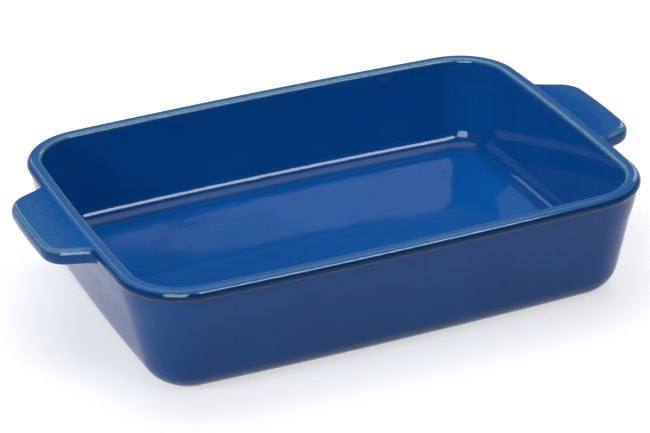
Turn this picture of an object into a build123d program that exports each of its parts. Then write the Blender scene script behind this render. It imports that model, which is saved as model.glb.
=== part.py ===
from build123d import *
import os
from math import cos, radians, sin, tan

os.makedirs("parts", exist_ok=True)

# Rectangular stoneware baking dish with two wing lugs, glazed all over but for its foot ring.
# Millimetres, +Z up, X along the dish, origin in the middle of the face it stands on.

# Plan and height, measured over the glaze; the bows are how far each side swells past its corners
dish_length = 330.0
dish_width = 236.0
dish_height = 76.0
end_bow = 3.6
side_bow = 4.0
rim_corner_radius = 41.5

# Walls measured over the glaze on both faces; the floor stands this high over the table, on a raised foot
draft_angle = 11.8
wall_thickness = 8.4
floor_height = 19.0
base_edge_radius = 21.0
floor_fillet_radius = 13.0

# Rim bead, which stands a little proud of the wall below it
rim_height = 6.4
rim_overhang = 1.2
rim_outer_radius = 4.4
rim_lower_radius = 1.6
rim_inner_radius = 3.4
rim_neck_radius = 3.0
bevel_angle = 45.0

# Foot ring, left bare, and the recess inside it that hollows the base
foot_width = 6.0
foot_recess = 11.0
recess_corner_radius = 5.0
foot_edge_radius = 0.8
glaze_line_height = 1.4

# Glaze coat
coat = 0.6

# Wing lugs, reach measured from the corner line of the dish's end; they sit a little behind the middle
lug_reach = 29.0
lug_root_width = 98.0
lug_rake_angle = 22.5
lug_tip_bow = 1.4
lug_corner_radius = 17.0
lug_flare_start = 7.5
lug_flare_radius = 15.0
lug_flare_angle = 42.0
lug_root_depth = 8.0
lug_seat_depth = 3.0
lug_thickness = 10.6
lug_edge_radius = 4.3
lug_drop = 1.2
lug_slope_angle = 2.0
lug_offset = 6.0

# The trimming pieces reach this far past what they cut
overrun = 5.0

# How the leaning faces run, and where the parts of the section meet
draft_rate = tan(radians(draft_angle))
draft_stretch = 1 / cos(radians(draft_angle))
bevel_rate = tan(radians(bevel_angle))
bevel_stretch = 1 / cos(radians(bevel_angle))
neck_height = dish_height - rim_height
bead_height = neck_height + rim_overhang / bevel_rate
rim_width = rim_overhang + wall_thickness * draft_stretch - rim_height * draft_rate
base_inset = rim_overhang + neck_height * draft_rate + coat * draft_stretch
foot_inset = base_inset + (base_edge_radius - coat) * tan(radians(90 - draft_angle) / 2)
recess_inset = foot_inset + foot_width


# The dish's plan outline, moved in from the rim's by inset, with its four corners rounded
def dish_outline(inset, corner_radius):
    half_length = dish_length / 2 - inset
    half_width = dish_width / 2 - inset
    side_swell = half_width + side_bow * (2 * half_length / dish_length) ** 2
    end_swell = half_length + end_bow * (2 * half_width / dish_width) ** 2
    front_left = (-half_length, -half_width)
    front_right = (half_length, -half_width)
    back_left = (-half_length, half_width)
    back_right = (half_length, half_width)
    with BuildSketch() as outline:
        with BuildLine():
            ThreePointArc(front_left, (0, -side_swell), front_right)
            ThreePointArc(front_right, (end_swell, 0), back_right)
            ThreePointArc(back_right, (0, side_swell), back_left)
            ThreePointArc(back_left, (-end_swell, 0), front_left)
        make_face()
        fillet(outline.vertices(), radius=corner_radius)
    return outline.sketch


# Every edge of a form that lies flat at one level
def edges_at(form, level):
    return form.edges().filter_by(
        lambda e: abs(e.bounding_box().min.Z - level) < coat / 10
        and abs(e.bounding_box().max.Z - level) < coat / 10
    )


# The basin's form, every face moved in from the glaze's surface by skin
def basin_form(skin):
    base_level = skin - coat
    top_level = dish_height - skin
    floor_level = floor_height - skin
    slant = skin * (draft_stretch - draft_rate)
    bead_level = bead_height + skin * tan(radians(bevel_angle) / 2)
    neck_level = neck_height + skin * (bevel_stretch - draft_stretch) / (bevel_rate - draft_rate)
    with BuildPart() as form:
        # Rim band, the bevel under it, then the drafted wall down to the foot
        with BuildSketch(Plane(origin=(0, 0, top_level), z_dir=(0, 0, -1))):
            add(dish_outline(skin, rim_corner_radius - skin))
        extrude(amount=top_level - bead_level)
        extrude(form.faces().sort_by(Axis.Z)[0], amount=bead_level - neck_level, taper=bevel_angle)
        extrude(form.faces().sort_by(Axis.Z)[0], amount=neck_level - base_level, taper=draft_angle)
        fillet(edges_at(form, base_level), radius=base_edge_radius - skin)

        # Cavity, tapered down to the floor
        with BuildSketch(Plane(origin=(0, 0, top_level), z_dir=(0, 0, -1))):
            add(dish_outline(rim_width - slant, rim_corner_radius - rim_width + slant))
        extrude(amount=top_level - floor_level, taper=draft_angle, mode=Mode.SUBTRACT)
        fillet(edges_at(form, floor_level), radius=floor_fillet_radius + skin)

        # The rim's roundings and the neck under it
        fillet(edges_at(form, neck_level), radius=rim_neck_radius + skin)
        fillet(edges_at(form, bead_level), radius=rim_lower_radius - skin)
        top_face = form.faces().sort_by(Axis.Z)[-1]
        fillet(top_face.outer_wire().edges(), radius=rim_outer_radius - skin)
        top_face = form.faces().sort_by(Axis.Z)[-1]
        fillet(top_face.inner_wires()[0].edges(), radius=rim_inner_radius - skin)
    return form.part


# One wing lug on the dish's right end, every face moved in from the glaze's surface by skin
def lug_form(skin):
    rake = radians(lug_rake_angle)
    slope = radians(lug_slope_angle)
    half_root = lug_root_width / 2 - skin / cos(rake)
    corner_reach = lug_reach - lug_tip_bow - skin
    corner = (corner_reach, half_root - corner_reach * tan(rake))
    flare_reach = lug_flare_start - skin * sin(rake)
    flare_start = (flare_reach, half_root - flare_reach * tan(rake))
    top_face = Plane(
        origin=(dish_length / 2, lug_offset, dish_height - lug_drop),
        x_dir=(cos(slope), 0, -sin(slope)),
        z_dir=(sin(slope), 0, cos(slope)),
    )
    with BuildPart() as form:
        with BuildSketch(top_face.offset(-skin)) as plan:
            with BuildLine():
                TangentArc((lug_reach - skin, 0), corner, tangent=(0, 1))
                Line(corner, flare_start)
                flare = JernArc(
                    start=flare_start,
                    tangent=(-cos(rake), sin(rake)),
                    radius=lug_flare_radius + skin,
                    arc_size=-lug_flare_angle,
                )
                leaving = flare % 1
                root_length = ((flare @ 1).X + lug_root_depth) / -leaving.X
                root = Line(flare @ 1, (flare @ 1) + leaving * root_length)
                Line(root @ 1, (-lug_root_depth, 0))
                mirror(about=Plane.XZ)
            make_face()
            fillet(plan.vertices().group_by(Axis.X)[-1], radius=lug_corner_radius - skin)
        extrude(amount=2 * skin - lug_thickness)
        flats = form.faces().sort_by(Axis(top_face.origin, top_face.z_dir))
        root_limit = dish_length / 2 - lug_root_depth + coat
        rim_edges = (flats[0].edges() + flats[-1].edges()).filter_by(
            lambda e: e.center().X > root_limit
        )
        fillet(rim_edges, radius=lug_edge_radius - skin)
        split(bisect_by=Plane.YZ.offset(dish_length / 2 - lug_seat_depth), keep=Keep.TOP)
    return form.part


# Bare stoneware basin with the foot ring's recess
with BuildPart() as basin:
    add(basin_form(coat))
    with BuildSketch():
        add(dish_outline(recess_inset, recess_corner_radius))
    extrude(amount=foot_recess, mode=Mode.SUBTRACT)
    fillet(edges_at(basin, 0), radius=foot_edge_radius)
basin.part.label = "basin"
export_step(basin.part, "parts/basin.step")

# The glazed surfaces that the coats reach out to
glazed_basin = basin_form(0)
glazed_lug = lug_form(0)
bare_lug = lug_form(coat)

# Bare stoneware lugs, each seated against the basin's wall and rim
with BuildPart() as handle_right:
    add(bare_lug)
    add(basin.part, mode=Mode.SUBTRACT)
handle_right.part.label = "handle_right"
export_step(handle_right.part, "parts/handle_right.step")

with BuildPart() as handle_left:
    add(handle_right.part)
    mirror(about=Plane.YZ, mode=Mode.REPLACE)
handle_left.part.label = "handle_left"
export_step(handle_left.part, "parts/handle_left.step")

# Glaze on the lugs, from the basin's own coat out to the tip
with BuildPart() as glaze_handle_right:
    add(glazed_lug)
    add(glazed_basin, mode=Mode.SUBTRACT)
    add(bare_lug, mode=Mode.SUBTRACT)
glaze_handle_right.part.label = "glaze_handle_right"
export_step(glaze_handle_right.part, "parts/glaze_handle_right.step")

with BuildPart() as glaze_handle_left:
    add(glaze_handle_right.part)
    mirror(about=Plane.YZ, mode=Mode.REPLACE)
glaze_handle_left.part.label = "glaze_handle_left"
export_step(glaze_handle_left.part, "parts/glaze_handle_left.step")

# Glaze on the basin, inside and out, open where the lugs join and wiped off the foot
with BuildPart() as glaze_basin:
    add(glazed_basin)
    add(basin.part, mode=Mode.SUBTRACT)
    add(handle_right.part, mode=Mode.SUBTRACT)
    add(handle_left.part, mode=Mode.SUBTRACT)
    with BuildSketch(Plane.XY.offset(-overrun)):
        add(dish_outline(-overrun, rim_corner_radius + overrun))
    extrude(amount=overrun + glaze_line_height, mode=Mode.SUBTRACT)
    with BuildSketch():
        add(dish_outline(recess_inset, recess_corner_radius))
    extrude(amount=foot_recess, mode=Mode.SUBTRACT)
glaze_basin.part.label = "glaze_basin"
export_step(glaze_basin.part, "parts/glaze_basin.step")

# Glaze in the recess under the floor
with BuildPart() as glaze_underside:
    with BuildSketch(Plane.XY.offset(foot_recess - coat)):
        add(dish_outline(recess_inset, recess_corner_radius))
    extrude(amount=coat)
glaze_underside.part.label = "glaze_underside"
export_step(glaze_underside.part, "parts/glaze_underside.step")
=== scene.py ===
# %% [markdown]
# # A glazed stoneware baking dish
#
# The dish is one fired pot: a rectangular basin with sloping walls and a beaded rim, and a flat wing lug
# luted to each short end. A thick gloss glaze covers everything but the foot ring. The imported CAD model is
# the frame that all pieces here must fit, in metres, standing on z = 0 with x along the dish.

# %% Load the frame
from math import acos, atan2, cos, hypot, pi, radians, sin, sqrt, tan

import bmesh
import bpy
import numpy as np
from mathutils import Matrix, Vector


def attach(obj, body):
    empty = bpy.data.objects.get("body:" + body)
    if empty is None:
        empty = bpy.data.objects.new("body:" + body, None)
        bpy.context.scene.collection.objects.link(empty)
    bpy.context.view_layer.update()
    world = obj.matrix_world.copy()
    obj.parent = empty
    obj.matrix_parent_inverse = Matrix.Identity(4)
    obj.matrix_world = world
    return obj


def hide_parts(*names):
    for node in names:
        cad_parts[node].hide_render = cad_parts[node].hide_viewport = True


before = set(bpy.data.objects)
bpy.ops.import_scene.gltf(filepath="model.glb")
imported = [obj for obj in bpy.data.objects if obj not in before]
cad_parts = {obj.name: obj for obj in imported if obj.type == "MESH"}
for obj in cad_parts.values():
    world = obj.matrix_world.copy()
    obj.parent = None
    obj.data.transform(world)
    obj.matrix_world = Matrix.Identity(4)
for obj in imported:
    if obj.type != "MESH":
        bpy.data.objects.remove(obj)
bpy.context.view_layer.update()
scene = bpy.context.scene
scene.view_settings.view_transform = "Standard"

# %% [markdown]
# ## Camera
# The dish was photographed with a long lens from above its front left side. The camera's place is given as
# a photographer would: which way round the dish it stands, how high it looks from, how far off it is, and
# how little it is panned, tilted and rolled from looking straight at the middle of the dish. The lens is
# written as a focal length in pixels of the picture, because that is what matching a picture's outline
# gives.

# %% Place the camera
PICTURE_WIDTH = 650
SENSOR_WIDTH = 36.0
FAR_CLIP = 100.0
FOCAL_PIXELS = 2804.16
AIM_HEIGHT = 0.030
DISTANCE = 1.73497
AZIMUTH, ELEVATION = radians(-22.857), radians(27.042)
PAN, TILT, ROLL = radians(0.130), radians(0.281), radians(-1.649)

away = Vector((sin(AZIMUTH) * cos(ELEVATION), -cos(AZIMUTH) * cos(ELEVATION), sin(ELEVATION)))
right = Vector((0, 0, 1)).cross(away).normalized()
rows = Matrix((right, away.cross(right), away))
turned = Matrix.Rotation(-ROLL, 3, "Z") @ Matrix.Rotation(-TILT, 3, "X") @ Matrix.Rotation(-PAN, 3, "Y")
facing = (turned @ rows).transposed()

camera_data = bpy.data.cameras.new("camera")
camera_data.sensor_width = SENSOR_WIDTH
camera_data.lens = FOCAL_PIXELS / PICTURE_WIDTH * SENSOR_WIDTH
camera_data.clip_end = FAR_CLIP
camera = bpy.data.objects.new("camera", camera_data)
camera.matrix_world = Matrix.Translation(Vector((0, 0, AIM_HEIGHT)) + away * DISTANCE) @ facing.to_4x4()
scene.collection.objects.link(camera)
scene.camera = camera
print("lens", round(camera_data.lens, 1), "mm, camera at", [round(x, 3) for x in camera.location])

# %% [markdown]
# ## Stage
# A plain pale table. Its own colour is pale, and rays from the camera, from gloss and through glass also
# meet a glow, which lifts it to white for all of them alike but leaves the dish's soft shadow on it. It
# lies a hair under the foot, so that the two faces don't flicker through each other.

# %% Pale table
TABLE_SIDE = 24.0
TABLE_DROP = 0.0002
TABLE_COLOUR = (0.66, 0.66, 0.67, 1.0)
TABLE_GLOW = 0.60


def deselect():
    bpy.ops.object.select_all(action="DESELECT")


def new_material(name):
    """A node material that holds nothing but its output, with its nodes and links to add to."""
    material = bpy.data.materials.new(name)
    material.use_nodes = True
    nodes = material.node_tree.nodes
    nodes.clear()
    output = nodes.new("ShaderNodeOutputMaterial")
    return material, nodes, material.node_tree.links, output


deselect()
bpy.ops.mesh.primitive_plane_add(size=TABLE_SIDE, location=(0, 0, -TABLE_DROP))
table = bpy.context.active_object
table.name = "table"
table_material, nodes, links, output = new_material("pale_table")
matt = nodes.new("ShaderNodeBsdfDiffuse")
matt.inputs["Color"].default_value = TABLE_COLOUR
glow = nodes.new("ShaderNodeEmission")
path = nodes.new("ShaderNodeLightPath")
mirrored = nodes.new("ShaderNodeMath")
mirrored.operation = "MAXIMUM"
links.new(path.outputs["Is Glossy Ray"], mirrored.inputs[0])
links.new(path.outputs["Is Transmission Ray"], mirrored.inputs[1])
seen = nodes.new("ShaderNodeMath")
seen.operation = "MAXIMUM"
links.new(mirrored.outputs[0], seen.inputs[0])
links.new(path.outputs["Is Camera Ray"], seen.inputs[1])
level = nodes.new("ShaderNodeMath")
level.operation = "MULTIPLY"
level.inputs[1].default_value = TABLE_GLOW
links.new(seen.outputs[0], level.inputs[0])
links.new(level.outputs[0], glow.inputs["Strength"])
both = nodes.new("ShaderNodeAddShader")
links.new(matt.outputs[0], both.inputs[0])
links.new(glow.outputs[0], both.inputs[1])
links.new(both.outputs[0], output.inputs["Surface"])
table.data.materials.append(table_material)
print("table:", TABLE_SIDE, "m a side, glow", TABLE_GLOW)

# %% [markdown]
# ## Light
# Gloss shows the lights themselves, so their shapes matter more than their number. The room around is a
# dim grey that gets lighter overhead. It could light the dish alone, but then the gloss would have nothing
# to draw.

# %% Room
# How light the room is at shares of the way from straight down to straight up
ROOM_SHADES = (
    (0.0, (0.02, 0.02, 0.03)),
    (0.36, (0.07, 0.07, 0.08)),
    (0.60, (0.10, 0.11, 0.13)),
    (1.0, (0.12, 0.12, 0.14)),
)
world = bpy.data.worlds.new("room")
scene.world = world
world.use_nodes = True
nodes, links = world.node_tree.nodes, world.node_tree.links
nodes.clear()
room_output = nodes.new("ShaderNodeOutputWorld")
room = nodes.new("ShaderNodeBackground")
where = nodes.new("ShaderNodeTexCoord")
split = nodes.new("ShaderNodeSeparateXYZ")
shade = nodes.new("ShaderNodeValToRGB")
stops = shade.color_ramp.elements
for stop, (place, colour) in zip(stops, (ROOM_SHADES[0], ROOM_SHADES[-1])):
    stop.position, stop.color = place, (*colour, 1)
for place, colour in ROOM_SHADES[1:-1]:
    stops.new(place).color = (*colour, 1)
links.new(where.outputs["Generated"], split.inputs[0])
links.new(split.outputs["Z"], shade.inputs["Fac"])
links.new(shade.outputs["Color"], room.inputs["Color"])
links.new(room.outputs[0], room_output.inputs["Surface"])
print("room shades:", len(stops))

# %% [markdown]
# ### Soft boxes
# Two boxes both light the dish and are mirrored by it: a big one overhead, a little behind the dish, and a
# small one high in front. One at the left only lights the lugs and the right wall. Four are only shapes
# for the gloss to mirror, cool as window light, and light nothing: a bright strip inside the front box,
# which draws the line along the rim and along the rounding between floor and back wall, a window at the
# front left, which gives the corners their glints, a tall narrow one behind the dish, and a small window
# at the back right. Keeping the two jobs apart lets a glint be placed without making the dish lighter.

# %% Soft boxes
WHITE = (1.0, 1.0, 1.0)
DAYLIGHT = (0.97, 0.98, 1.0)
COOL = (0.78, 0.91, 1.0)


def soft_box(name, place, aim, width, height, watts, colour=WHITE, lights=True, mirrored=True):
    """A rectangular lamp turned to its aim. It may only light the dish, or only be mirrored by its gloss."""
    lamp = bpy.data.lights.new(name, "AREA")
    lamp.shape = "RECTANGLE"
    lamp.size, lamp.size_y = width, height
    lamp.energy = watts
    lamp.color = colour
    box = bpy.data.objects.new(name, lamp)
    box.location = place
    box.rotation_euler = (Vector(aim) - Vector(place)).to_track_quat("-Z", "Y").to_euler()
    box.visible_diffuse, box.visible_glossy = lights, mirrored
    scene.collection.objects.link(box)


soft_box("box_front", (0.345, -0.98, 1.12), (0, 0, 0), 0.99, 0.50, 3.4)
soft_box("strip_front", (0.335, -0.97, 1.10), (0, 0, 0), 0.78, 0.36, 20.0, COOL, lights=False)
soft_box("box_left", (-1.60, -0.26, 0.85), (0, 0, 0.03), 0.50, 0.60, 8.0, mirrored=False)
soft_box("window_left", (-0.95, -1.22, 0.90), (0, 0, 0.03), 1.00, 1.20, 60.0, COOL, lights=False)
soft_box("box_top", (0.10, 0.44, 1.66), (0, 0, 0), 1.80, 1.40, 18.5, DAYLIGHT)
soft_box("box_back", (-0.22, 1.25, 0.80), (0, 0, 0), 0.24, 0.90, 1.8, COOL, lights=False)
soft_box("window_back", (1.20, 0.95, 0.62), (0, 0, 0.05), 0.50, 0.50, 3.0, COOL, lights=False)

# %% [markdown]
# ## Glaze
# A coloured gloss glaze is a glassy coat a few tenths of a millimetre thick. Its colour depends on how
# thick it lies: it runs off edges while it melts, and there the pale clay shows through as teal and milky
# speckles, and it pools in hollows, where it goes darker. Each modelled piece carries two attributes for
# this, `thin_and_sheen` and `pool_and_shade`, from 0 to 1. On the basin they also carry painted light: a
# pale line along the rim's crest is a painted highlight, and a dark band under the bead is painted shade.
# The effect is a node group, so that every glazed piece can share it. First come a few short functions
# that each place one node.

# %% Functions that place one node
# A Mix node keeps sockets for numbers, vectors and colours side by side; these are the places of the
# colours
MIX_FIRST, MIX_SECOND, MIX_RESULT = 6, 7, 2


def noise_node(nodes, links, vector, scale, detail=2.0, roughness=0.5):
    node = nodes.new("ShaderNodeTexNoise")
    node.inputs["Scale"].default_value = scale
    node.inputs["Detail"].default_value = detail
    node.inputs["Roughness"].default_value = roughness
    links.new(vector, node.inputs["Vector"])
    return node.outputs["Fac"]


def math_node(nodes, links, operation, *values):
    node = nodes.new("ShaderNodeMath")
    node.operation = operation
    for socket, value in zip(node.inputs, values):
        if isinstance(value, (int, float)):
            socket.default_value = value
        else:
            links.new(value, socket)
    return node.outputs[0]


def range_node(nodes, links, value, low, high, to_low=0.0, to_high=1.0):
    node = nodes.new("ShaderNodeMapRange")
    node.interpolation_type = "SMOOTHSTEP"
    node.inputs["From Min"].default_value = low
    node.inputs["From Max"].default_value = high
    node.inputs["To Min"].default_value = to_low
    node.inputs["To Max"].default_value = to_high
    links.new(value, node.inputs["Value"])
    return node.outputs["Result"]


def mix_node(nodes, links, share, first, second):
    node = nodes.new("ShaderNodeMix")
    node.data_type = "RGBA"
    links.new(share, node.inputs["Factor"])
    for place, value in ((MIX_FIRST, first), (MIX_SECOND, second)):
        if isinstance(value, tuple):
            node.inputs[place].default_value = value
        else:
            links.new(value, node.inputs[place])
    return node.outputs[MIX_RESULT]


def new_group(name, takes, gives):
    group = bpy.data.node_groups.new(name, "ShaderNodeTree")
    for label, kind in takes:
        group.interface.new_socket(name=label, in_out="INPUT", socket_type=kind)
    for label, kind in gives:
        group.interface.new_socket(name=label, in_out="OUTPUT", socket_type=kind)
    given, result = group.nodes.new("NodeGroupInput"), group.nodes.new("NodeGroupOutput")
    return group, group.nodes, group.links, given, result


print("node functions ready")

# %% [markdown]
# ### The glaze's colour
# On the real dish the blue drifts slowly over a wall, and where the coat is thin it breaks into speckles.
# It could be painted by hand, but noise in the dish's own space needs no seam and no picture. Fine noise
# stirs the `thin_and_sheen` value, and as the stirred value climbs the colour steps from blue over light
# blue and teal to milky. The same steps draw the painted highlight on the rim's crest, and `pool_and_shade`
# darkens the blue for pooled glaze and for the painted shade under the bead.

# %% Node group: glaze colour from its thickness, with a painted highlight and painted shade
DEEP_BLUE = (0.0030, 0.100, 0.395, 1.0)
BRIGHT_BLUE = (0.0040, 0.116, 0.430, 1.0)
# darker blue for pooled glaze, and for the painted shade under the bead
POOLED_AND_SHADED_BLUE = (0.0012, 0.042, 0.170, 1.0)
LIGHT_BLUE = (0.050, 0.175, 0.420, 1.0)
TEAL = (0.155, 0.345, 0.455, 1.0)
MILKY = (0.430, 0.590, 0.620, 1.0)
MOTTLE_STRENGTH, SPECK_STRENGTH = 0.62, 0.50
SPECKLING = 1.35

group, nodes, links, given, result = new_group(
    "glaze_colour_and_painted_light",
    (("Place", "NodeSocketVector"), ("Thin_and_sheen", "NodeSocketFloat"), ("Pool_and_shade", "NodeSocketFloat")),
    (("Colour", "NodeSocketColor"),),
)
place, thin_and_sheen, pool_and_shade = given.outputs["Place"], given.outputs["Thin_and_sheen"], given.outputs["Pool_and_shade"]
drift = noise_node(nodes, links, place, scale=26.0, detail=3.0, roughness=0.55)
mottle = noise_node(nodes, links, place, scale=420.0, detail=3.0, roughness=0.65)
speck = noise_node(nodes, links, place, scale=1150.0, detail=2.0, roughness=0.6)
grain = math_node(nodes, links, "MULTIPLY_ADD", mottle, MOTTLE_STRENGTH, -MOTTLE_STRENGTH / 2)
fleck = math_node(nodes, links, "MULTIPLY_ADD", speck, SPECK_STRENGTH, -SPECK_STRENGTH / 2)
uneven = math_node(nodes, links, "ADD", grain, fleck)
stir = math_node(nodes, links, "MULTIPLY", uneven, math_node(nodes, links, "MULTIPLY", thin_and_sheen, SPECKLING))
# thinness stirred by noise; on the rim's crest it draws a painted highlight
break_and_sheen = math_node(nodes, links, "ADD", thin_and_sheen, stir)
body = mix_node(nodes, links, range_node(nodes, links, drift, low=0.30, high=0.72), DEEP_BLUE, BRIGHT_BLUE)
# pooled glaze goes darker, and so does the painted shade under the bead
body = mix_node(nodes, links, pool_and_shade, body, POOLED_AND_SHADED_BLUE)
for low, high, colour in ((0.10, 0.50, LIGHT_BLUE), (0.46, 0.86, TEAL), (0.82, 1.30, MILKY)):
    body = mix_node(nodes, links, range_node(nodes, links, break_and_sheen, low, high), body, colour)
links.new(body, result.inputs["Colour"])
glaze_colour_and_painted_light = group
print("glaze colour group:", len(nodes), "nodes")

# %% [markdown]
# ### The skin of the glaze
# A melted coat is never a flat mirror. It has long slow waves from the melt, a fine orange peel, and a few
# pinholes where gas came out, and its gloss varies a little from place to place. All are far too fine to
# model, so they are heights for a bump and values for the roughness.

# %% Node group: the skin of the glaze
PINHOLE_REACH, PINHOLE_DEPTH = 0.035, 0.22
GLOSSIEST, DULLEST = 0.035, 0.085

group, nodes, links, given, result = new_group(
    "glaze_skin",
    (("Place", "NodeSocketVector"), ("Waves", "NodeSocketFloat"), ("Peel", "NodeSocketFloat")),
    (("Height", "NodeSocketFloat"), ("Dullness", "NodeSocketFloat")),
)
place = given.outputs["Place"]
waves = noise_node(nodes, links, place, scale=34.0, detail=1.0, roughness=0.4)
peel = noise_node(nodes, links, place, scale=240.0, detail=2.0, roughness=0.5)
holes = nodes.new("ShaderNodeTexVoronoi")
holes.inputs["Scale"].default_value = 95.0
links.new(place, holes.inputs["Vector"])
pinhole = range_node(nodes, links, holes.outputs["Distance"], 0.0, PINHOLE_REACH, -PINHOLE_DEPTH, 0.0)
wave_height = math_node(nodes, links, "MULTIPLY", waves, given.outputs["Waves"])
peel_height = math_node(nodes, links, "MULTIPLY", peel, given.outputs["Peel"])
height = math_node(nodes, links, "ADD", wave_height, peel_height)
links.new(math_node(nodes, links, "ADD", height, pinhole), result.inputs["Height"])
smear = noise_node(nodes, links, place, scale=14.0, detail=4.0, roughness=0.6)
dullness = range_node(nodes, links, smear, 0.30, 0.75, GLOSSIEST, DULLEST)
links.new(dullness, result.inputs["Dullness"])
glaze_skin = group
print("glaze skin group:", len(nodes), "nodes")

# %% [markdown]
# ### The glaze as a material
# The glaze is a clear glass full of colour over pale clay. It could be a real clear layer over a clay
# layer, but that is slow and hard to steer, so one Principled shader carries the colour and the gloss. Its
# index of refraction is lower than a real glaze's, because the white table in it would make the walls
# milky. The glaze under the floor has no attributes, so it gets one steady thickness.

# %% Blue glaze material
GLAZE_IOR = 1.30
BUMP_HEIGHT = 0.0002


def glaze_material(name, waves, peel, steady_thin=None):
    """The blue gloss. steady_thin is for a piece with no attributes of its own."""
    material, nodes, links, output = new_material(name)
    shader = nodes.new("ShaderNodeBsdfPrincipled")
    shader.inputs["IOR"].default_value = GLAZE_IOR
    where = nodes.new("ShaderNodeTexCoord").outputs["Object"]
    colour = nodes.new("ShaderNodeGroup")
    colour.node_tree = glaze_colour_and_painted_light
    skin = nodes.new("ShaderNodeGroup")
    skin.node_tree = glaze_skin
    links.new(where, colour.inputs["Place"])
    links.new(where, skin.inputs["Place"])
    skin.inputs["Waves"].default_value = waves
    skin.inputs["Peel"].default_value = peel
    if steady_thin is None:
        for label in ("Thin_and_sheen", "Pool_and_shade"):
            attribute = nodes.new("ShaderNodeAttribute")
            attribute.attribute_name = label.lower()
            links.new(attribute.outputs["Fac"], colour.inputs[label])
    else:
        colour.inputs["Thin_and_sheen"].default_value = steady_thin
    bump = nodes.new("ShaderNodeBump")
    bump.inputs["Strength"].default_value = 1.0
    bump.inputs["Distance"].default_value = BUMP_HEIGHT
    links.new(skin.outputs["Height"], bump.inputs["Height"])
    links.new(colour.outputs["Colour"], shader.inputs["Base Color"])
    links.new(skin.outputs["Dullness"], shader.inputs["Roughness"])
    links.new(bump.outputs["Normal"], shader.inputs["Normal"])
    links.new(shader.outputs[0], output.inputs["Surface"])
    return material


blue_glaze = glaze_material("blue_glaze", waves=1.0, peel=0.10)
underside_glaze = glaze_material("underside_glaze", waves=1.4, peel=0.22, steady_thin=0.05)
print("glazes:", blue_glaze.name, underside_glaze.name)

# %% [markdown]
# ## Bare stoneware
# The ring that the dish stands on is wiped clean of glaze before firing, because glaze would weld it to
# the kiln shelf. What shows there is the clay: matt, buff, sandy to the touch, with darker grains of iron.
# The CAD bodies are right as they are, so they are only given this material, and the glaze under the floor
# its own.

# %% Stoneware material
BUFF, PALE_BUFF = (0.46, 0.36, 0.25, 1), (0.58, 0.48, 0.36, 1)
SAND, IRON = (0.66, 0.58, 0.47, 1), (0.13, 0.07, 0.035, 1)
SAND_HEIGHT, SAND_STRENGTH = 0.0003, 0.6

stoneware, nodes, links, output = new_material("bare_stoneware")
shader = nodes.new("ShaderNodeBsdfPrincipled")
where = nodes.new("ShaderNodeTexCoord").outputs["Object"]
tone = noise_node(nodes, links, where, scale=30.0, detail=4.0, roughness=0.6)
sand = noise_node(nodes, links, where, scale=900.0, detail=3.0, roughness=0.6)
iron = nodes.new("ShaderNodeTexVoronoi")
iron.inputs["Scale"].default_value = 330.0
links.new(where, iron.inputs["Vector"])
sandy = range_node(nodes, links, sand, 0.35, 0.7, to_low=0.0, to_high=0.5)
grains = range_node(nodes, links, iron.outputs["Distance"], 0.10, 0.18, to_low=0.75, to_high=0.0)
clay = mix_node(nodes, links, range_node(nodes, links, tone, 0.3, 0.7), BUFF, PALE_BUFF)
clay = mix_node(nodes, links, sandy, clay, SAND)
clay = mix_node(nodes, links, grains, clay, IRON)
bump = nodes.new("ShaderNodeBump")
bump.inputs["Strength"].default_value = SAND_STRENGTH
bump.inputs["Distance"].default_value = SAND_HEIGHT
links.new(sand, bump.inputs["Height"])
links.new(clay, shader.inputs["Base Color"])
grit = range_node(nodes, links, sand, 0.3, 0.7, to_low=0.75, to_high=0.92)
links.new(grit, shader.inputs["Roughness"])
links.new(bump.outputs["Normal"], shader.inputs["Normal"])
links.new(shader.outputs[0], output.inputs["Surface"])

for name in ("basin", "handle_left", "handle_right", "glaze_underside"):
    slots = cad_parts[name].data.materials
    slots.clear()
    slots.append(underside_glaze if name == "glaze_underside" else stoneware)
print("materials:", [m.name for m in bpy.data.materials if m.users])

# %% [markdown]
# ## The glazed basin
# Seen from above, the dish is a rectangle whose sides swell a little and whose corners are round. Cut
# through the wall, it is a line that climbs from the foot, rounds over the rim bead and drops to the
# floor. So the glaze is made the way a wire-frame potter would: one ring of points in the shape of the
# plan, extruded again and again along the section, each new ring moved in and up by what the section says.
# That gives long even quads that the gloss can run along without a dent.

# %% Sizes of the section, in metres
LENGTH, WIDTH, HEIGHT = 0.330, 0.236, 0.076
END_BOW, SIDE_BOW, CORNER_RADIUS = 0.0036, 0.0040, 0.0415
DRAFT_ANGLE = radians(11.8)
DRAFT, DRAFT_STRETCH = tan(DRAFT_ANGLE), 1 / cos(DRAFT_ANGLE)
COAT = 0.0006
WALL, FLOOR = 0.0084, 0.019
RIM_HEIGHT, RIM_OVERHANG = 0.0064, 0.0012
NECK = HEIGHT - RIM_HEIGHT
BEAD = NECK + RIM_OVERHANG
RIM_WIDTH = RIM_OVERHANG + WALL * DRAFT_STRETCH - RIM_HEIGHT * DRAFT
BASE_INSET = RIM_OVERHANG + (NECK + COAT) * DRAFT
FLOOR_INSET = RIM_WIDTH + (HEIGHT - FLOOR) * DRAFT
GLAZE_LINE = 0.0014
RADII = {"base": 0.021, "neck": 0.003, "bead": 0.0016, "crest": 0.0044, "lip": 0.0034, "floor": 0.013}
print("rim, base and floor inset:", [round(inset, 5) for inset in (RIM_WIDTH, BASE_INSET, FLOOR_INSET)])

# %% [markdown]
# ### The plan outline
# The mould's outline was drawn with compasses: a wide arc for each side and a small one for each corner. A
# curve object would do too, but points worked out from the arcs can be moved in evenly, as a real wall's
# are: the centres stay and the radii shrink. One quarter is worked out, and the rest are its mirror
# images.

# %% The plan outline, as a ring of points
END_STEPS, CORNER_STEPS, SIDE_STEPS = 14, 18, 20


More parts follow.
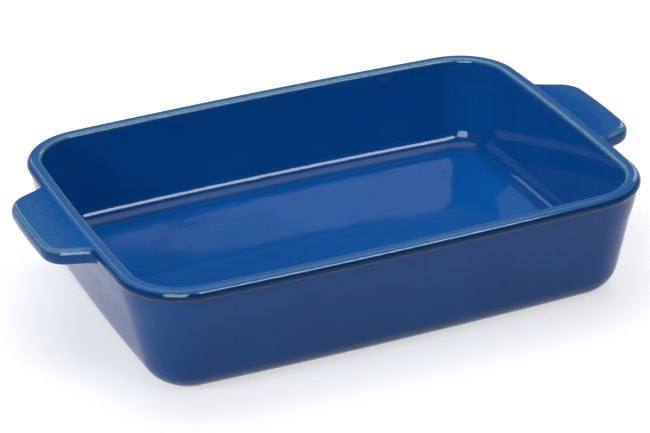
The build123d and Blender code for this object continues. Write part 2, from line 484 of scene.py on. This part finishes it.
def plan_ring(inset, drawn_at=0.0):
    """Points round the plan: the outline drawn at one inset, then moved in evenly to another."""
    half_length, half_width = LENGTH / 2 - drawn_at, WIDTH / 2 - drawn_at
    end_swell = END_BOW * (2 * half_width / WIDTH) ** 2
    side_swell = SIDE_BOW * (2 * half_length / LENGTH) ** 2
    end_radius = (half_width ** 2 + end_swell ** 2) / (2 * end_swell)
    side_radius = (half_length ** 2 + side_swell ** 2) / (2 * side_swell)
    end_centre = half_length + end_swell - end_radius
    side_centre = half_width + side_swell - side_radius
    radius = CORNER_RADIUS - drawn_at
    # the corner's centre is where two circles round the wide arcs' centres cross
    a, b = end_radius - radius, side_radius - radius
    apart = hypot(end_centre, side_centre)
    along = (a * a - b * b + apart * apart) / (2 * apart)
    across = sqrt(a * a - along * along)
    ux, uy = -end_centre / apart, side_centre / apart
    corner = (end_centre + along * ux - across * uy, along * uy + across * ux)
    first = atan2(corner[1], corner[0] - end_centre)
    last = atan2(corner[1] - side_centre, corner[0])
    end_radius, side_radius, radius = (r - (inset - drawn_at) for r in (end_radius, side_radius, radius))
    quarter = []
    for t in np.linspace(0, first, END_STEPS, endpoint=False):
        quarter.append((end_centre + end_radius * cos(t), end_radius * sin(t)))
    for t in np.linspace(first, last, CORNER_STEPS, endpoint=False):
        quarter.append((corner[0] + radius * cos(t), corner[1] + radius * sin(t)))
    for t in np.linspace(last, pi / 2, SIDE_STEPS, endpoint=False):
        quarter.append((side_radius * cos(t), side_centre + side_radius * sin(t)))
    mirrored = [(-x, y) for x, y in [(0.0, side_centre + side_radius)] + quarter[:0:-1]]
    upper = quarter + mirrored
    return upper + [(-x, -y) for x, y in upper]


ring = plan_ring(0)
print("points round the plan:", len(ring), "reach", max(x for x, y in ring), max(y for x, y in ring))

# %% [markdown]
# ### The section
# Cut through the wall, the potter's profile is a few straight lines with a radius at each meeting. It
# could be a bevelled curve, but then each radius would have to be the same kind of bevel. Worked out
# corner by corner, each meeting has its own radius, and the points lie close where the line turns and far
# apart where it runs straight.

# %% The section, as a line with rounded corners
TURN_STEP, FEWEST_STEPS = radians(7.5), 5
RUN_SPACING = 0.006
SAME_PLACE = 1e-7
FOOT_RUN, FLOOR_RUN = 0.030, 0.0165


def rounded_line(corners, spacing):
    """A line through (inset, height, radius) corners, each rounded, with its straight runs divided."""
    runs = []
    for i, (x, y, radius) in enumerate(corners):
        here = Vector((x, y))
        if i in (0, len(corners) - 1):
            runs.append([here])
            continue
        back = (Vector(corners[i - 1][:2]) - here).normalized()
        on = (Vector(corners[i + 1][:2]) - here).normalized()
        half = acos(max(-1, min(1, back.dot(on)))) / 2
        reach = radius / tan(half)
        centre = here + (back + on).normalized() * (radius / sin(half))
        start, end = here + back * reach, here + on * reach
        a, b = start - centre, end - centre
        turn = atan2(a.x * b.y - a.y * b.x, a.dot(b))
        steps = max(FEWEST_STEPS, int(abs(turn) / TURN_STEP))
        arc = []
        for k in range(steps + 1):
            t = turn * k / steps
            arc.append(centre + Vector((a.x * cos(t) - a.y * sin(t), a.x * sin(t) + a.y * cos(t))))
        runs.append(arc)
    line = list(runs[0])
    for run in runs[1:]:
        gap = (run[0] - line[-1]).length
        parts = max(1, round(gap / spacing))
        line += [line[-1].lerp(run[0], k / parts) for k in range(1, parts)]
        line += run if gap > SAME_PLACE else run[1:]
    return line


section = rounded_line(
    (
        (BASE_INSET + FOOT_RUN, -COAT, 0),
        (BASE_INSET, -COAT, RADII["base"]),
        (RIM_OVERHANG, NECK, RADII["neck"]),
        (0.0, BEAD, RADII["bead"]),
        (0.0, HEIGHT, RADII["crest"]),
        (RIM_WIDTH, HEIGHT, RADII["lip"]),
        (FLOOR_INSET, FLOOR, RADII["floor"]),
        (FLOOR_INSET + FLOOR_RUN, FLOOR, 0),
    ),
    RUN_SPACING,
)
# the glaze is wiped off below its line, so the section starts there
above = [i for i, p in enumerate(section) if p.y > GLAZE_LINE][0]
lower, upper = section[above - 1], section[above]
edge = lower.lerp(upper, (GLAZE_LINE - lower.y) / (upper.y - lower.y))
section = [edge] + section[above:]
print("rings in the section:", len(section))

# %% [markdown]
# ### From ring to basin
# A dish is pressed or thrown as one skin of clay, and this mesh grows as one skin too. It could be a lathe
# or a screw, but those make round pots. Here each extrusion keeps the plan and only moves its points to
# their new places, which are found by where they were. The last ring is closed with one flat face, the
# floor.

# %% Extrude the ring along the section
PLACE_DIGITS = 7
START_RADIUS = 0.1


def lay_ring(mesh_object, old, new, height):
    """Extrudes the selected ring in edit mode and moves each new point from its old place to its new one."""
    bpy.ops.mesh.extrude_region_move()
    shape = bmesh.from_edit_mesh(mesh_object.data)
    index = {(round(x, PLACE_DIGITS), round(y, PLACE_DIGITS)): i for i, (x, y) in enumerate(old)}
    for v in shape.verts:
        if v.select:
            x, y = new[index[(round(v.co.x, PLACE_DIGITS), round(v.co.y, PLACE_DIGITS))]]
            v.co = (x, y, height)
    bmesh.update_edit_mesh(mesh_object.data)


def as_float32(points):
    """The points as a mesh will hold them, so that they can be found in it again."""
    return [tuple(float(np.float32(c)) for c in p) for p in points]


# Rings less than half a rim in are drawn at the outside of the rim, and the rest at its inside, the
# cavity's own edge. That puts the lower outside wall, which leans in further than that, up to 0.5 mm
# inside the solid's.
HALF_RIM = RIM_WIDTH / 2
FIRST_RING = GLAZE_LINE * 1.01
rings = []
for p in section:
    outside = p.x < HALF_RIM or p.y < FIRST_RING
    rings.append(as_float32(plan_ring(p.x, 0.0 if outside else RIM_WIDTH)))
deselect()
bpy.ops.mesh.primitive_circle_add(vertices=len(rings[0]), radius=START_RADIUS)
glazed_basin = bpy.context.active_object
glazed_basin.name = "glazed_basin"
for v, (x, y) in zip(glazed_basin.data.vertices, rings[0]):
    v.co = (x, y, section[0].y)
bpy.ops.object.mode_set(mode="EDIT")
bpy.ops.mesh.select_all(action="SELECT")
for i in range(1, len(section)):
    lay_ring(glazed_basin, rings[i - 1], rings[i], section[i].y)
bpy.ops.mesh.edge_face_add()
bpy.ops.mesh.select_all(action="SELECT")
bpy.ops.mesh.normals_make_consistent(inside=False)
bpy.ops.object.mode_set(mode="OBJECT")
floor_face = max(glazed_basin.data.polygons, key=lambda f: f.area)
if floor_face.normal.z < 0:
    glazed_basin.data.flip_normals()
print("glazed basin:", len(glazed_basin.data.vertices), "points,", len(glazed_basin.data.polygons), "faces")

# %% [markdown]
# ### How thick the glaze lies, and painted light on the rim
# The two attributes come from where a point is on the section. Glaze is thinnest on the tight rounding at
# the inner edge of the rim, and a little thin over the crest. The pale line on the crest's outer rounding is
# a painted highlight. Glaze pools in the rounding between wall and floor, and the dark band under the bead
# is painted shade. Painting the values by hand would leave them uneven round the rim, so each ring takes
# one value, from how far along the section it lies from these places.

# %% Thin and pooled glaze on the basin, with a painted highlight and painted shade
POINT_DIGITS = 6


def bell(value, middle, spread):
    return float(np.exp(-((value - middle) / spread) ** 2))


def write_attribute(piece, name, values):
    attribute = piece.data.attributes.new(name, "FLOAT", "POINT")
    attribute.data.foreach_set("value", np.array(values, np.float32))


def strongest(place, bands):
    """The strongest of some (strength, middle, spread) bands at one place along the section."""
    return max(strength * bell(place, middle, spread) for strength, middle, spread in bands)


reach = np.cumsum([0] + [(b - a).length for a, b in zip(section, section[1:])])
# the rings at each place, by how near they lie to it
lip_rings = [i for i, p in enumerate(section) if p.y > HEIGHT - 0.0016 and p.x > RIM_WIDTH - 0.0022]
crest_rings = [i for i, p in enumerate(section) if p.y > HEIGHT - 0.002 and p.x < HALF_RIM]
neck_rings = [i for i, p in enumerate(section) if abs(p.y - NECK) < 0.001 and p.x < 0.003]
floor_turn = FLOOR + 0.003
foot_rings = [i for i, p in enumerate(section) if abs(p.y - floor_turn) < 0.003 and p.x > FLOOR_INSET - 0.004]
lip, crest = np.mean(reach[lip_rings]), np.mean(reach[crest_rings])
neck, foot = np.mean(reach[neck_rings]), np.mean(reach[foot_rings])
# the third band, on the crest's outer rounding, is a painted highlight
THIN_AND_SHEEN_BANDS = ((0.80, lip, 0.0019), (0.40, (lip + crest) / 2, 0.0026), (0.46, crest - 0.0004, 0.0014))
# the band just under the bead is painted shade; the one at the foot of the wall is pooled glaze
POOL_AND_SHADE_BANDS = ((0.95, neck + 0.0026, 0.0027), (0.40, foot, 0.009))
thin_and_sheen_on = [strongest(r, THIN_AND_SHEEN_BANDS) for r in reach]
pool_and_shade_on = [strongest(r, POOL_AND_SHADE_BANDS) for r in reach]
ring_of = {}
for i, (ring, p) in enumerate(zip(rings, section)):
    for x, y in ring:
        ring_of[tuple(round(c, POINT_DIGITS) for c in (x, y, p.y))] = i
rings_hit = [ring_of[tuple(round(c, POINT_DIGITS) for c in v.co)] for v in glazed_basin.data.vertices]
thin_and_sheen_at = [thin_and_sheen_on[i] for i in rings_hit]
pool_and_shade_at = [pool_and_shade_on[i] for i in rings_hit]
write_attribute(glazed_basin, "thin_and_sheen", thin_and_sheen_at)
write_attribute(glazed_basin, "pool_and_shade", pool_and_shade_at)
print("thinnest", round(max(thin_and_sheen_at), 2), "deepest pool", round(max(pool_and_shade_at), 2))

# %% [markdown]
# ### The coat's thickness
# The skin so far is the glaze's outer face. The real coat is a layer with a thickness, and where it is
# wiped off above the foot its edge shows, so the skin gets the coat's thickness inwards, as an applied
# modifier. Then the piece is shaded smooth, takes its glaze, and stands for the coat in the CAD model.

# %% Give the glaze its thickness
SMOOTH_ANGLE = radians(50)


def finish_piece(piece, material):
    deselect()
    piece.select_set(True)
    bpy.context.view_layer.objects.active = piece
    bpy.ops.object.shade_smooth_by_angle(angle=SMOOTH_ANGLE)
    piece.data.materials.clear()
    piece.data.materials.append(material)
    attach(piece, "root")


deselect()
glazed_basin.select_set(True)
bpy.context.view_layer.objects.active = glazed_basin
thickness = glazed_basin.modifiers.new("coat", "SOLIDIFY")
thickness.thickness = COAT
thickness.offset = -1.0
bpy.ops.object.modifier_apply(modifier="coat")
finish_piece(glazed_basin, blue_glaze)
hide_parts("glaze_basin")
print("coated basin:", len(glazed_basin.data.polygons), "faces")

# %% [markdown]
# ## The glazed lugs
# Each lug is a flat wing with a rounded edge: straight sides that lean in, two round corners, and a hollow
# flare where each side runs out into the wall. It is drawn as its outline, extruded down through the
# roundings of its edge, and its root is buried in the wall. A box with bevelled edges would need its
# hollow flares cut in afterwards, so the outline is worked out as one half, from the middle of the tip to
# the root, and mirrored.

# %% The lug's outline, moved in from its edge
LUG_REACH, LUG_ROOT, LUG_RAKE = 0.029, 0.098, radians(22.5)
LUG_BOW, LUG_CORNER = 0.0014, 0.017
FLARE_START, FLARE_RADIUS, FLARE_TURN = 0.0075, 0.015, radians(42)
LUG_ROOT_DEPTH, LUG_THICKNESS, LUG_EDGE = 0.0045, 0.0106, 0.0043
LUG_DROP, LUG_SLOPE, LUG_OFFSET = 0.0012, radians(2), 0.006
TIP_STEPS, LUG_CORNER_STEPS, STRAIGHT_STEPS, FLARE_STEPS, ROOT_STEPS = 10, 16, 6, 12, 4


def swung(x_share, y_share, t):
    """A direction swung round by t, towards the wall."""
    return Vector((x_share * cos(t) + y_share * sin(t), y_share * cos(t) - x_share * sin(t)))


def lug_half(inset):
    """From the middle of the tip round to the root, x outwards from the dish's end, y along it."""
    half_root = LUG_ROOT / 2 - inset / cos(LUG_RAKE)
    reach = LUG_REACH - LUG_BOW - inset
    corner = Vector((reach, half_root - reach * tan(LUG_RAKE)))
    radius = LUG_CORNER - inset
    bow_radius = (corner.y ** 2 + LUG_BOW ** 2) / (2 * LUG_BOW)
    bow_centre = Vector((LUG_REACH - inset - bow_radius, 0))
    outward = Vector((sin(LUG_RAKE), cos(LUG_RAKE)))
    # the corner's centre lies radius inside both the bowed tip and the straight side
    level = outward.dot(corner) - radius
    far = bow_radius - radius
    drop = level - outward.dot(bow_centre)
    centre = bow_centre + outward * drop + Vector((outward.y, -outward.x)) * sqrt(far * far - drop * drop)
    first = atan2(centre.y - bow_centre.y, centre.x - bow_centre.x)
    last = atan2(outward.y, outward.x)
    tip_turns = np.linspace(0, first, TIP_STEPS, endpoint=False)
    points = [bow_centre + bow_radius * Vector((cos(t), sin(t))) for t in tip_turns]
    corner_turns = np.linspace(first, last, LUG_CORNER_STEPS)
    points += [centre + radius * Vector((cos(t), sin(t))) for t in corner_turns]
    flare_x = FLARE_START - inset * sin(LUG_RAKE)
    start = Vector((flare_x, half_root - flare_x * tan(LUG_RAKE)))
    points += [points[-1].lerp(start, k / STRAIGHT_STEPS) for k in range(1, STRAIGHT_STEPS)]
    # the hollow flare turns about a centre outside the lug
    flare_radius = FLARE_RADIUS + inset
    hollow = start + outward * flare_radius
    flare_turns = np.linspace(0, FLARE_TURN, FLARE_STEPS)
    points += [hollow - swung(outward.x, outward.y, t) * flare_radius for t in flare_turns]
    way = (points[-1] - points[-2]).normalized()
    end, root_length = points[-1], (points[-1].x + LUG_ROOT_DEPTH) / -way.x
    points += [end + way * root_length * k / ROOT_STEPS for k in range(1, ROOT_STEPS + 1)]
    return points


def lug_ring(inset):
    half = lug_half(inset)
    return [(p.x, p.y) for p in half] + [(p.x, -p.y) for p in half[:0:-1]]


print("lug outline points:", len(lug_ring(0)), "widest", max(y for x, y in lug_ring(0)))

# %% [markdown]
# ### From outline to lug
# The lug's edge is rounded top and bottom, so that fingers don't meet a sharp clay edge. The outline is
# moved in for the top face, then extruded out and down round the top edge, straight down, and in again
# round the bottom one. That keeps the points of the edge in rows, as the basin's are, which a bevel on so
# short a flare wouldn't.

# %% Extrude the lug through the roundings of its edge
EDGE_STEPS = 9
LUG_START_RADIUS = 0.02
levels = []
for k in range(EDGE_STEPS + 1):
    t = pi / 2 * k / EDGE_STEPS
    levels.append((LUG_EDGE * (1 - sin(t)), -LUG_EDGE * (1 - cos(t))))
levels += [(inset, -LUG_THICKNESS - z) for inset, z in levels[::-1]]
lug_rings = [as_float32(lug_ring(inset)) for inset, z in levels]
deselect()
bpy.ops.mesh.primitive_circle_add(vertices=len(lug_rings[0]), radius=LUG_START_RADIUS)
glazed_lug_right = bpy.context.active_object
glazed_lug_right.name = "glazed_lug_right"
for v, (x, y) in zip(glazed_lug_right.data.vertices, lug_rings[0]):
    v.co = (x, y, levels[0][1])
bpy.ops.object.mode_set(mode="EDIT")
bpy.ops.mesh.select_all(action="SELECT")
for i in range(1, len(levels)):
    lay_ring(glazed_lug_right, lug_rings[i - 1], lug_rings[i], levels[i][1])
bpy.ops.mesh.edge_face_add()
bpy.ops.mesh.select_all(action="DESELECT")
shape = bmesh.from_edit_mesh(glazed_lug_right.data)
for e in shape.edges:
    if e.is_boundary:
        e.select_set(True)
bmesh.update_edit_mesh(glazed_lug_right.data)
bpy.ops.mesh.edge_face_add()
bpy.ops.mesh.select_all(action="SELECT")
bpy.ops.mesh.normals_make_consistent(inside=False)
bpy.ops.object.mode_set(mode="OBJECT")
print("lug:", len(glazed_lug_right.data.vertices), "points,", len(glazed_lug_right.data.polygons), "faces")

# %% [markdown]
# ### Thin glaze on the lug's edge
# Glaze runs off the lug's upper edge and shows pale there, but not on its flat top. A value on the edge's
# points would spread over the whole flat face, because that is one face from edge to edge. So both flats
# get an inner ring of points first, which holds the value at nothing, and the paleness stays on the edge.

# %% Thin glaze on the lug, and its seat on the dish
FLAT_MARGIN = 0.0022
QUAD_CORNERS = 4
ROOT_FADE_FROM, ROOT_FADE = 0.001, 0.008
EDGE_THIN, EDGE_THIN_DEPTH, EDGE_THIN_SPREAD = 0.80, 0.0012, 0.0013

for f in glazed_lug_right.data.polygons:
    f.select = len(f.vertices) > QUAD_CORNERS
bpy.ops.object.mode_set(mode="EDIT")
bpy.ops.mesh.select_mode(type="FACE")
bpy.ops.mesh.inset(thickness=FLAT_MARGIN, depth=0)
bpy.ops.object.mode_set(mode="OBJECT")
drawn = {(round(x, POINT_DIGITS), round(y, POINT_DIGITS)) for ring in lug_rings for x, y in ring}
lug_thin = []
for v in glazed_lug_right.data.vertices:
    off_root = max(0.0, min(1.0, (v.co.x - ROOT_FADE_FROM) / ROOT_FADE))
    on_edge = (round(v.co.x, POINT_DIGITS), round(v.co.y, POINT_DIGITS)) in drawn
    pale = EDGE_THIN * bell(v.co.z, -EDGE_THIN_DEPTH, EDGE_THIN_SPREAD) if on_edge else 0.0
    lug_thin.append(off_root * pale)
write_attribute(glazed_lug_right, "thin_and_sheen", lug_thin)
write_attribute(glazed_lug_right, "pool_and_shade", [0.0] * len(lug_thin))
slope = Matrix.Rotation(LUG_SLOPE, 4, "Y")
seat = Matrix.Translation((LENGTH / 2, LUG_OFFSET, HEIGHT - LUG_DROP))
glazed_lug_right.data.transform(seat @ slope)
print("thinnest on the lug", round(max(lug_thin), 2))

# %% [markdown]
# ### The left lug
# The potter presses both lugs in one mould and turns one round. The outline is the same about its own
# middle, so a mirror image does as well, and it keeps both lugs the same way behind the middle of the
# dish. The copy's faces are flipped back, because a mirror turns them inside out.

# %% Mirror it for the left end
glazed_lug_left = glazed_lug_right.copy()
glazed_lug_left.data = glazed_lug_right.data.copy()
glazed_lug_left.name = "glazed_lug_left"
scene.collection.objects.link(glazed_lug_left)
glazed_lug_left.data.transform(Matrix.Scale(-1, 4, (1, 0, 0)))
glazed_lug_left.data.flip_normals()
for piece, node in ((glazed_lug_right, "glaze_handle_right"), (glazed_lug_left, "glaze_handle_left")):
    finish_piece(piece, blue_glaze)
    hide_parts(node)
    print(piece.name, [round(x, 4) for x in piece.bound_box[0]], [round(x, 4) for x in piece.bound_box[6]])
